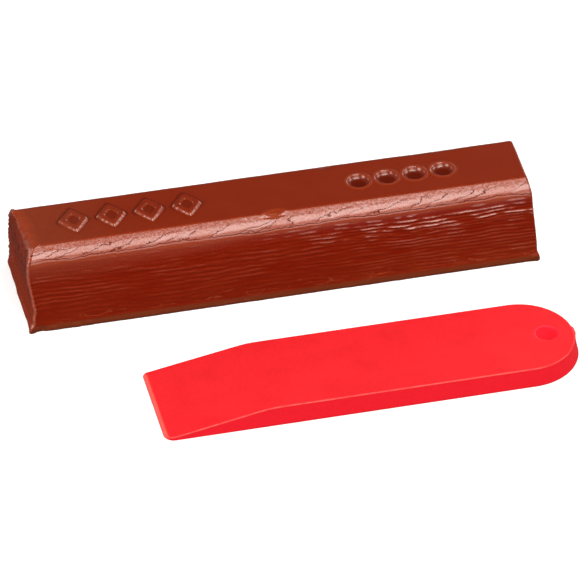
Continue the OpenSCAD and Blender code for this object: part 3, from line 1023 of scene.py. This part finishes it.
def relief_group(s):
    """Geometry nodes that raise the cast relief of the bar's skin, and their values."""
    group = bpy.data.node_groups.new("wax_relief", "GeometryNodeTree")
    values = {name.replace("_", " ").title(): float(getattr(s, name)) for name in RELIEF_SIZES}
    inputs = [("Geometry", "NodeSocketGeometry", None)]
    inputs += [(name, "NodeSocketFloat", 0.0) for name in values]
    inputs.append(("Material", "NodeSocketMaterial", None))
    group_sockets(group, inputs, [("Geometry", "NodeSocketGeometry")])
    t = Tree(group)
    given = t.put("NodeGroupInput")

    def zone(name):
        return t.put("GeometryNodeInputNamedAttribute", {"Name": name}, data_type="FLOAT")["Attribute"]

    def pattern(along, across, detail, roughness, offset):
        """Noise over the skin, with its frequencies along the bar and round it."""
        return t.noise(t.vector(x * along, around * across), detail, roughness, seed + offset)

    here = t.scaled(t.put("GeometryNodeInputPosition")[0], (1 / MM, 1 / MM, 1 / MM))
    x, y, _ = t.parts(here)
    y = y - BAR_Y
    around, top, shoulder, side = (zone(name) for name in ("around", "on_top", "on_shoulder", "on_side"))
    foot, end, left, lip = (zone(name) for name in ("on_foot", "at_end", "left_end", "on_lip"))
    depth = abs(around)
    seed = given["Seed"]

    wobble = (t.noise(here, 3.0, 0.55, seed, scale=1.1) - 0.5) * 0.3
    marks, rubbed, deep = mark_relief(t, given, x, y, wobble)
    strong, weak = ridge_relief(t, given["Ridge Pitch"], x, depth, pattern)
    crests = (strong + weak * x.step(2.0, 26.0, 0.52, 0.7)) * side
    streaks = pattern(0.22, 2.4, 2.0, 0.6, 23.0)
    ridges = (strong * side - side * 0.2) * given["Ridge Height"]
    ridges = ridges + (weak * 0.1 + (streaks - 0.5) * 0.07) * side

    # Chilled plates and pebbles on the shoulders, and a low roll along the crack that ends them
    border, shade = plates(t, x, depth, seed)
    below = long_crack(t, x, depth, seed)
    pillow = border.step(0.0, 0.3) * shade.step(0.0, 1.0, 0.1, 0.6) * below.step(0.1, -0.15)
    pillow = pillow * depth.step(6.2, 7.6)
    pebbled = (pattern(1.1, 1.7, 3.0, 0.65, 31.0) - 0.5) * depth.step(8.5, 6.5, 0.3, 0.6)
    roll = abs(below - 0.3).step(0.35, 0.0) * 0.6
    shoulders = (pillow + pebbled + roll) * shoulder * given["Plate Relief"]

    # Slow unevenness everywhere, a rough skin on the left end and an uneven foot
    uneven = (t.noise(here, 2.0, 0.5, seed + 41.0, scale=0.16) - 0.5) * (given["Unevenness"] * 2.0)
    rough = t.noise(t.scaled(here, (0.5, 0.8, 0.8)), 4.0, 0.6, seed + 53.0)
    ends = (rough - 0.6) * given["End Relief"] * (left * 3.4 + end * 0.5 + lip * 1.6)
    rims = (t.noise(t.vector(x * 0.5), 3.0, 0.6, seed + 61.0) - 0.5) * foot * 0.3

    height = (marks * top + ridges + shoulders + uneven + ends + rims) * MM
    inputs = {0: t.put("GeometryNodeInputNormal")[0], "Scale": height}
    offset = t.put("ShaderNodeVectorMath", inputs, operation="SCALE")[0]
    geometry = given["Geometry"]
    # The stored zones: the ridges' crests, the painted shade of the marks' hollows (sunk) and the painted
    # highlight and gloss of their edges (rim)
    for name, value in (("ridge", crests), ("sunk", deep * top), ("rim", rubbed * top)):
        inputs = {"Geometry": geometry, "Name": name, "Value": value}
        geometry = t.put("GeometryNodeStoreNamedAttribute", inputs, data_type="FLOAT", domain="POINT")[0]
    geometry = t.put("GeometryNodeSetPosition", {"Geometry": geometry, "Offset": offset})[0]
    geometry = t.put("GeometryNodeRealizeInstances", {"Geometry": geometry})[0]
    inputs = {"Geometry": geometry, "Material": given["Material"]}
    t.put("NodeGroupOutput", {"Geometry": t.put("GeometryNodeSetMaterial", inputs)[0]})
    return group, values


def run_nodes(piece, group, values):
    """Runs a geometry node group on a piece and leaves its result as the piece's plain mesh."""
    modifier = piece.modifiers.new(group.name, "NODES")
    modifier.node_group = group
    for item in group.interface.items_tree:
        if item.in_out == "INPUT" and item.name in values:
            modifier[item.identifier] = values[item.name]
    bpy.context.view_layer.update()
    shaped = piece.evaluated_get(bpy.context.evaluated_depsgraph_get())
    mesh = bpy.data.meshes.new_from_object(shaped)
    piece.modifiers.clear()
    piece.data = mesh
    mesh.name = piece.name


class WAXSTICK_OT_wax_bar(bpy.types.Operator):
    """Casts the wax bar: its skin, the relief on it and the wax"""

    bl_idname = "waxstick.wax_bar"
    bl_label = "Wax bar"

    def execute(self, context):
        s = context.scene.wax_bar_settings
        places, faces, zones = bar_skin(s)
        places = local_shapes(places, zones, s)
        piece = new_object("wax_bar_casting", (places * MM).tolist(), faces, zones)
        refine_marks(piece.data, s)
        group, values = relief_group(s)
        run_nodes(piece, group, {**values, "Material": wax_material(s)})
        keep_inside(piece.data, BAR_LOW, BAR_HIGH)
        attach(piece, "wax_bar")
        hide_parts("wax_bar")
        return {"FINISHED"}


# The spatula

# Rings of points up the spatula's wall, how many of them round its foot, and rings over its top edge
WALL_RINGS = 12
FOOT_RINGS = 4
EDGE_RINGS = 6
# One ring more, a little way in on the flat top, ends the edge's painted highlight
EDGE_HIGHLIGHT_END = 0.15
# Points along a straight side, round the end, round a corner, across the tip and round the hole.
# A point that two stretches share is counted in both
SIDE_POINTS = 96
ROUND_POINTS = 98
CORNER_POINTS = 10
TIP_POINTS = 42
HOLE_POINTS = 72
# Rings over each of the hole's rims
RIM_RINGS = 6
# The net inside the flat faces: its first point from the low corner, its step, and how far it stays
# from the outline and from the hole
NET_START_X = 1.2
NET_START_Y = 1.4
NET_STEP = 1.0
OUTLINE_ROOM = 0.6
HOLE_ROOM = 0.5
# The triangulation's mode that gives only the triangles inside the loops, and its tolerance
INSIDE_LOOPS = 1
LOOP_TOLERANCE = 1e-7


def blade_top(x, s):
    """Height of the spatula's top at x: the wedge, blended into the flat handle by an arc."""
    tip = TOOL_LOW.x
    thickness = TOOL_HIGH.z
    slope = (thickness - s.tip_thickness) / s.wedge_length
    kink = tip + s.wedge_length
    tilt = math.atan(slope)
    reach = s.wedge_blend * math.tan(tilt / 2)
    centre_x, centre_z = kink + reach, thickness - s.wedge_blend
    start = kink - reach * math.cos(tilt)
    wedge = s.tip_thickness + slope * (x - tip)
    arc = centre_z + np.sqrt(np.clip(s.wedge_blend**2 - (x - centre_x) ** 2, 0, None))
    return np.where(x < start, wedge, np.where(x < centre_x, arc, thickness))


def blade_outline(s):
    """The spatula seen from above at its underside, anticlockwise, with outward directions."""
    half = TOOL_HALF
    centre = TOOL_HIGH.x - half
    tip = TOOL_LOW.x
    square = math.pi / 2

    def corner(radius, side, turns):
        """The tip's corner on one side (1 is the far one), as points with their outward directions."""
        out = [(math.cos(t), math.sin(t)) for t in turns]
        return [(tip + radius * (1 + x), side * (half - radius * (1 - side * y)), x, y) for x, y in out]

    points = [(x, -half, 0.0, -1.0) for x in np.linspace(tip + s.near_corner, centre, SIDE_POINTS)]
    for t in np.linspace(-square, square, ROUND_POINTS)[1:-1]:
        points.append((centre + half * math.cos(t), half * math.sin(t), math.cos(t), math.sin(t)))
    points += [(x, half, 0.0, 1.0) for x in np.linspace(centre, tip + s.far_corner, SIDE_POINTS)]
    points += corner(s.far_corner, 1, np.linspace(square, 2 * square, CORNER_POINTS)[1:])
    for y in np.linspace(half - s.far_corner, -half + s.near_corner, TIP_POINTS)[1:]:
        points.append((tip, y, -1.0, 0.0))
    points += corner(s.near_corner, -1, np.linspace(2 * square, 3 * square, CORNER_POINTS)[1:-1])
    points = np.array(points)
    # The far side of the wedge runs in towards the tip
    narrow = np.clip((tip + s.wedge_length - points[:, 0]) / s.wedge_length, 0, 1)
    points[:, 1] -= s.tip_narrowing * narrow * smooth_step(points[:, 1], 0, half)
    return points


def blade_rings(s, outline):
    """Rings of points from the underside's edge up the wall and over the top edge."""
    thickness = TOOL_HIGH.z
    x, y, nx, ny = outline.T
    rings = []
    for t in np.linspace(0, math.pi / 2, FOOT_RINGS):
        inset = s.foot_round * (1 - math.sin(t))
        rings.append((x - nx * inset, y - ny * inset, np.full_like(x, s.foot_round * (1 - math.cos(t)))))
    base = s.foot_round
    top_in = blade_top(x - nx * (s.draft + s.edge_round), s)
    edge = np.minimum(s.edge_round, 0.55 * np.maximum(top_in - base, 0.1))
    wall_top = top_in - edge
    gate_face = TOOL_HIGH.x - s.gate_inset
    gate_top = thickness - s.edge_round + 0.05
    for share in np.linspace(0, 1, WALL_RINGS - FOOT_RINGS + 1)[1:]:
        z = base + (wall_top - base) * share
        inset = s.draft * z / thickness
        px, py = x - nx * inset, y - ny * inset
        in_gate = (np.abs(y) < s.gate_width / 2) & (x > 0) & (z > s.gate_base) & (z <= gate_top)
        px = np.where(in_gate, np.maximum(px, gate_face), px)
        rings.append((px, py, z))
    # The working edge is rounded further back than the sides
    back = np.maximum(edge, smooth_step(-nx, 0.5, 1.0) * s.tip_round)
    for i in range(1, EDGE_RINGS + 1):
        t = math.pi / 2 * i / EDGE_RINGS
        inset = s.draft * wall_top / thickness + back * (1 - math.cos(t))
        px, py = x - nx * inset, y - ny * inset
        z = wall_top + edge * math.sin(t) + (blade_top(px, s) - top_in) * math.sin(t)
        rings.append((px, py, z))
    px, py = px - nx * EDGE_HIGHLIGHT_END, py - ny * EDGE_HIGHLIGHT_END
    rings.append((px, py, blade_top(px, s)))
    return [np.stack(ring, -1) for ring in rings]


def hole_rings(s):
    """Rings down through the hanging hole, over both its rims."""
    centre = TOOL_HIGH.x - s.hole_inset
    radius = s.hole_width / 2
    thickness = TOOL_HIGH.z
    rim = s.hole_round
    quarter = [(math.cos(t), math.sin(t)) for t in np.linspace(0, math.pi / 2, RIM_RINGS)]
    path = [(radius + rim * (1 - sin), thickness - rim * (1 - cos)) for cos, sin in quarter]
    path += [(radius, thickness - rim - k * (thickness - 2 * rim) / 4) for k in (1, 2, 3)]
    path += [(radius + rim * (1 - cos), rim * (1 - sin)) for cos, sin in quarter]
    turn = np.linspace(0, 2 * math.pi, HOLE_POINTS, endpoint=False)
    return [
        np.stack([centre + r * np.cos(turn), r * np.sin(turn), np.full_like(turn, z)], -1) for r, z in path
    ]


def filled(outer, inner):
    """Triangles over the flat region between two closed loops, with an even net of points inside."""
    loops = [Vector(p[:2]) for p in outer] + [Vector(p[:2]) for p in inner]
    n, m = len(outer), len(inner)
    edges = [(i, (i + 1) % n) for i in range(n)] + [(n + i, n + (i + 1) % m) for i in range(m)]
    centre = inner[:, :2].mean(0)
    hole = np.linalg.norm(inner[0, :2] - centre)
    net = []
    for x in np.arange(TOOL_LOW.x + NET_START_X, TOOL_HIGH.x, NET_STEP):
        for y in np.arange(NET_START_Y - TOOL_HALF, TOOL_HALF, NET_STEP):
            room = np.hypot(outer[:, 0] - x, outer[:, 1] - y).min()
            if room > OUTLINE_ROOM and math.hypot(x - centre[0], y - centre[1]) > hole + HOLE_ROOM:
                net.append(Vector((x, y)))
    found = delaunay_2d_cdt(loops + net, edges, [], INSIDE_LOOPS, LOOP_TOLERANCE)
    verts, origin = found[0], found[3]
    # Triangles whose middle lies in the hole are left out
    faces = []
    for face in found[2]:
        middle = sum((verts[i] for i in face), Vector((0, 0))) / len(face)
        if math.hypot(middle.x - centre[0], middle.y - centre[1]) > hole * 0.999:
            faces.append(tuple(face))
    return verts, faces, origin


def spatula_mesh(s):
    """The spatula as one closed mesh, in millimetres, with the zones of its skin."""
    outline = blade_outline(s)
    walls = blade_rings(s, outline)
    hole = hole_rings(s)
    vertices, faces = [], []

    def strip(rings):
        """Adds a strip of rings and returns where its first and its last ring begin."""
        start = len(vertices)
        around = len(rings[0])
        for ring in rings:
            vertices.extend(map(tuple, ring))
        last = len(vertices) - around
        for a in range(start, last, around):
            b = a + around
            for j in range(around):
                k = (j + 1) % around
                faces.append((a + j, a + k, b + k, b + j))
        return start, last

    wall_low, wall_high = strip(walls)
    hole_high, hole_low = strip(hole)
    for outer, inner, outer_at, inner_at, top in (
        (walls[-1], hole[0], wall_high, hole_high, True),
        (walls[0], hole[-1], wall_low, hole_low, False),
    ):
        verts, cells, origin = filled(outer, inner)
        place = {}
        for index in sorted({i for cell in cells for i in cell}):
            spot = verts[index]
            known = [o for o in origin[index] if o < len(outer) + len(inner)]
            if known and known[0] < len(outer):
                place[index] = outer_at + known[0]
            elif known:
                place[index] = inner_at + known[0] - len(outer)
            else:
                place[index] = len(vertices)
                height = float(blade_top(np.array(spot.x), s)) if top else 0.0
                vertices.append((spot.x, spot.y, height))
        faces.extend(tuple(place[i] for i in cell) for cell in cells)

    # Shares of each ring of the wall, and then of each point round it
    rising = [0.0] * WALL_RINGS
    over_edge = [*rising, *np.sin(np.linspace(0.3, math.pi, EDGE_RINGS)) ** 2, 0.0]
    over_tip = [1.0] * (WALL_RINGS + EDGE_RINGS - 1) + [0.6, 0.0]
    # The edges' painted highlight is strongest on the near side and faint on the far side
    near_side_highlight = 0.15 + 0.85 * smooth_step(-outline[:, 3], 0.5, 1.0)
    at_tip = smooth_step(-outline[:, 2], 0.5, 1.0)
    at_wall = [1.0] * WALL_RINGS
    down_bore = np.clip(np.linspace(0, 1, len(hole)) * 8, 0, 1)
    places = np.array(vertices)
    places[:, 1] += TOOL_Y
    zones = {}
    for name, start, by_ring, by_point in (
        ("wall", wall_low, at_wall, np.ones(len(outline))),
        ("edge", wall_low, over_edge, near_side_highlight),
        ("tip", wall_low, over_tip, at_tip),
        ("bore", hole_high, down_bore, np.ones(len(hole[0]))),
    ):
        values = np.outer(by_ring, by_point).ravel()
        zones[name] = np.zeros(len(places))
        zones[name][start : start + len(values)] = values
    return places, faces, zones


class WAXSTICK_OT_spatula(bpy.types.Operator):
    """Moulds the spatula with its rounded edges, hanging hole and trimmed gate"""

    bl_idname = "waxstick.spatula"
    bl_label = "Spatula"

    def execute(self, context):
        s = context.scene.spatula_settings
        places, faces, zones = spatula_mesh(s)
        piece = new_object("spatula_moulding", (places * MM).tolist(), faces, zones)
        builder = bmesh.new()
        builder.from_mesh(piece.data)
        bmesh.ops.recalc_face_normals(builder, faces=builder.faces)
        write_closed(builder, piece.data)
        piece.data.materials.append(plastic_material(s))
        keep_inside(piece.data, TOOL_LOW, TOOL_HIGH)
        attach(piece, "spatula")
        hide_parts("spatula")
        return {"FINISHED"}


# Stage

# Half the width of the floor, in metres
FLOOR_HALF = 3.0


def aim(thing, target):
    thing.rotation_euler = (Vector(target) - thing.location).to_track_quat("-Z", "Y").to_euler()


def softbox(name, direction, distance, width, height, power, light_colour):
    light = bpy.data.lights.new(name, "AREA")
    light.shape = "RECTANGLE"
    light.size = width
    light.size_y = height
    light.energy = power
    light.color = light_colour
    lamp = bpy.data.objects.new(name, light)
    lamp.location = Vector(direction).normalized() * distance
    bpy.context.scene.collection.objects.link(lamp)
    aim(lamp, (0, 0, 0))
    lamp.visible_camera = False


def floor_material(s):
    """A pale floor that is white to the camera, keeps the shadow and can be looked through from below."""
    material, t = new_material("pale_floor")
    matt = t.put("ShaderNodeBsdfDiffuse", {"Color": (*s.floor, 1.0)})[0]
    dim = t.put("ShaderNodeBsdfDiffuse", {"Color": (0.12, 0.12, 0.12, 1.0)})[0]
    glow = t.put("ShaderNodeEmission", {"Color": WHITE, "Strength": 0.65})[0]
    seen = t.put("ShaderNodeAddShader", {0: matt, 1: glow})[0]
    path = t.put("ShaderNodeLightPath")
    front = t.either(path["Is Camera Ray"], t.either(path["Is Glossy Ray"], matt, dim), seen)
    clear = t.put("ShaderNodeBsdfTransparent")[0]
    both = t.either(t.put("ShaderNodeNewGeometry")["Backfacing"], front, clear)
    t.put("ShaderNodeOutputMaterial", {"Surface": both})
    return material


def surround(level, bounced, mirrored):
    """Even light from above and from below, dimmer in reflections and seen as white by the camera."""
    world = bpy.data.worlds.new("surround")
    world.use_nodes = True
    world.node_tree.nodes.clear()
    t = Tree(world.node_tree)
    height = t.parts(t.put("ShaderNodeTexCoord")["Generated"])[2]
    strengths = (height.step(0.05, -0.05, level, bounced), mirrored, 1.0)
    even, dim, white = (
        t.put("ShaderNodeBackground", {"Color": WHITE, "Strength": strength})[0] for strength in strengths
    )
    path = t.put("ShaderNodeLightPath")
    both = t.either(path["Is Camera Ray"], t.either(path["Is Glossy Ray"], even, dim), white)
    t.put("ShaderNodeOutputWorld", {"Surface": both})
    return world


class WAXSTICK_OT_stage(bpy.types.Operator):
    """Sets the floor, the light and the camera"""

    bl_idname = "waxstick.stage"
    bl_label = "Stage"

    def execute(self, context):
        scene = context.scene
        s = scene.stage_settings
        corners = [(x * FLOOR_HALF, y * FLOOR_HALF, 0) for x, y in ((-1, -1), (1, -1), (1, 1), (-1, 1))]
        floor = new_object("floor", corners, [(0, 1, 2, 3)])
        floor.data.materials.append(floor_material(s))
        # Light comes up through the floor, so that the undersides aren't black when seen from below
        floor.visible_diffuse = False
        # Each softbox: the direction in which it stands, its distance, width, height and power
        for name, direction, distance, width, height, power in (
            ("key_softbox", (0.16, -0.45, 0.88), 0.6, 0.46, 0.34, s.key_power),
            ("front_softbox", (0.15, -0.9, 0.42), 0.6, 0.4, 0.24, s.front_power),
            ("left_softbox", (-0.9, -0.25, 0.36), 0.6, 0.24, 0.34, s.side_power),
            ("right_softbox", (0.9, 0.05, 0.43), 0.6, 0.3, 0.26, 0.6 * s.side_power),
            ("back_left_softbox", (-0.75, 0.8, 0.22), 0.7, 0.3, 0.3, s.back_power),
            ("back_right_softbox", (0.75, 0.8, 0.22), 0.7, 0.3, 0.3, s.back_power),
        ):
            softbox(name, direction, distance, width, height, power, s.light)
        scene.world = surround(s.surround, s.bounced, s.mirrored)
        scene.view_settings.view_transform = "Standard"

        camera = bpy.data.objects.new("camera", bpy.data.cameras.new("camera"))
        scene.collection.objects.link(camera)
        away = Vector((
            math.sin(s.azimuth) * math.cos(s.elevation),
            -math.cos(s.azimuth) * math.cos(s.elevation),
            math.sin(s.elevation),
        ))
        camera.location = Vector(s.target) + away * s.distance
        aim(camera, s.target)
        camera.data.lens = s.lens
        camera.data.clip_start = 0.01
        scene.camera = camera
        return {"FINISHED"}


class WAXSTICK_PT_pieces(bpy.types.Panel):
    """Lists the pieces and the stage in the sidebar"""

    bl_label = "Wax stick"
    bl_idname = "WAXSTICK_PT_pieces"
    bl_space_type = "VIEW_3D"
    bl_region_type = "UI"
    bl_category = "Wax stick"

    def draw(self, context):
        for operator, settings, _ in PIECES:
            box = self.layout.box()
            box.operator(operator.bl_idname)
            group = getattr(context.scene, settings)
            for name in group.__annotations__:
                box.prop(group, name)


PIECES = [
    (WAXSTICK_OT_wax_bar, "wax_bar_settings", WaxBarSettings),
    (WAXSTICK_OT_spatula, "spatula_settings", SpatulaSettings),
    (WAXSTICK_OT_stage, "stage_settings", StageSettings),
]


def register():
    for operator, name, settings in PIECES:
        bpy.utils.register_class(settings)
        bpy.utils.register_class(operator)
        setattr(bpy.types.Scene, name, PointerProperty(type=settings))
    bpy.utils.register_class(WAXSTICK_PT_pieces)


def unregister():
    bpy.utils.unregister_class(WAXSTICK_PT_pieces)
    for operator, name, settings in reversed(PIECES):
        delattr(bpy.types.Scene, name)
        bpy.utils.unregister_class(operator)
        bpy.utils.unregister_class(settings)


def main():
    register()
    bpy.ops.waxstick.stage()
    bpy.ops.waxstick.wax_bar()
    bpy.ops.waxstick.spatula()


if __name__ == "__main__":
    main()
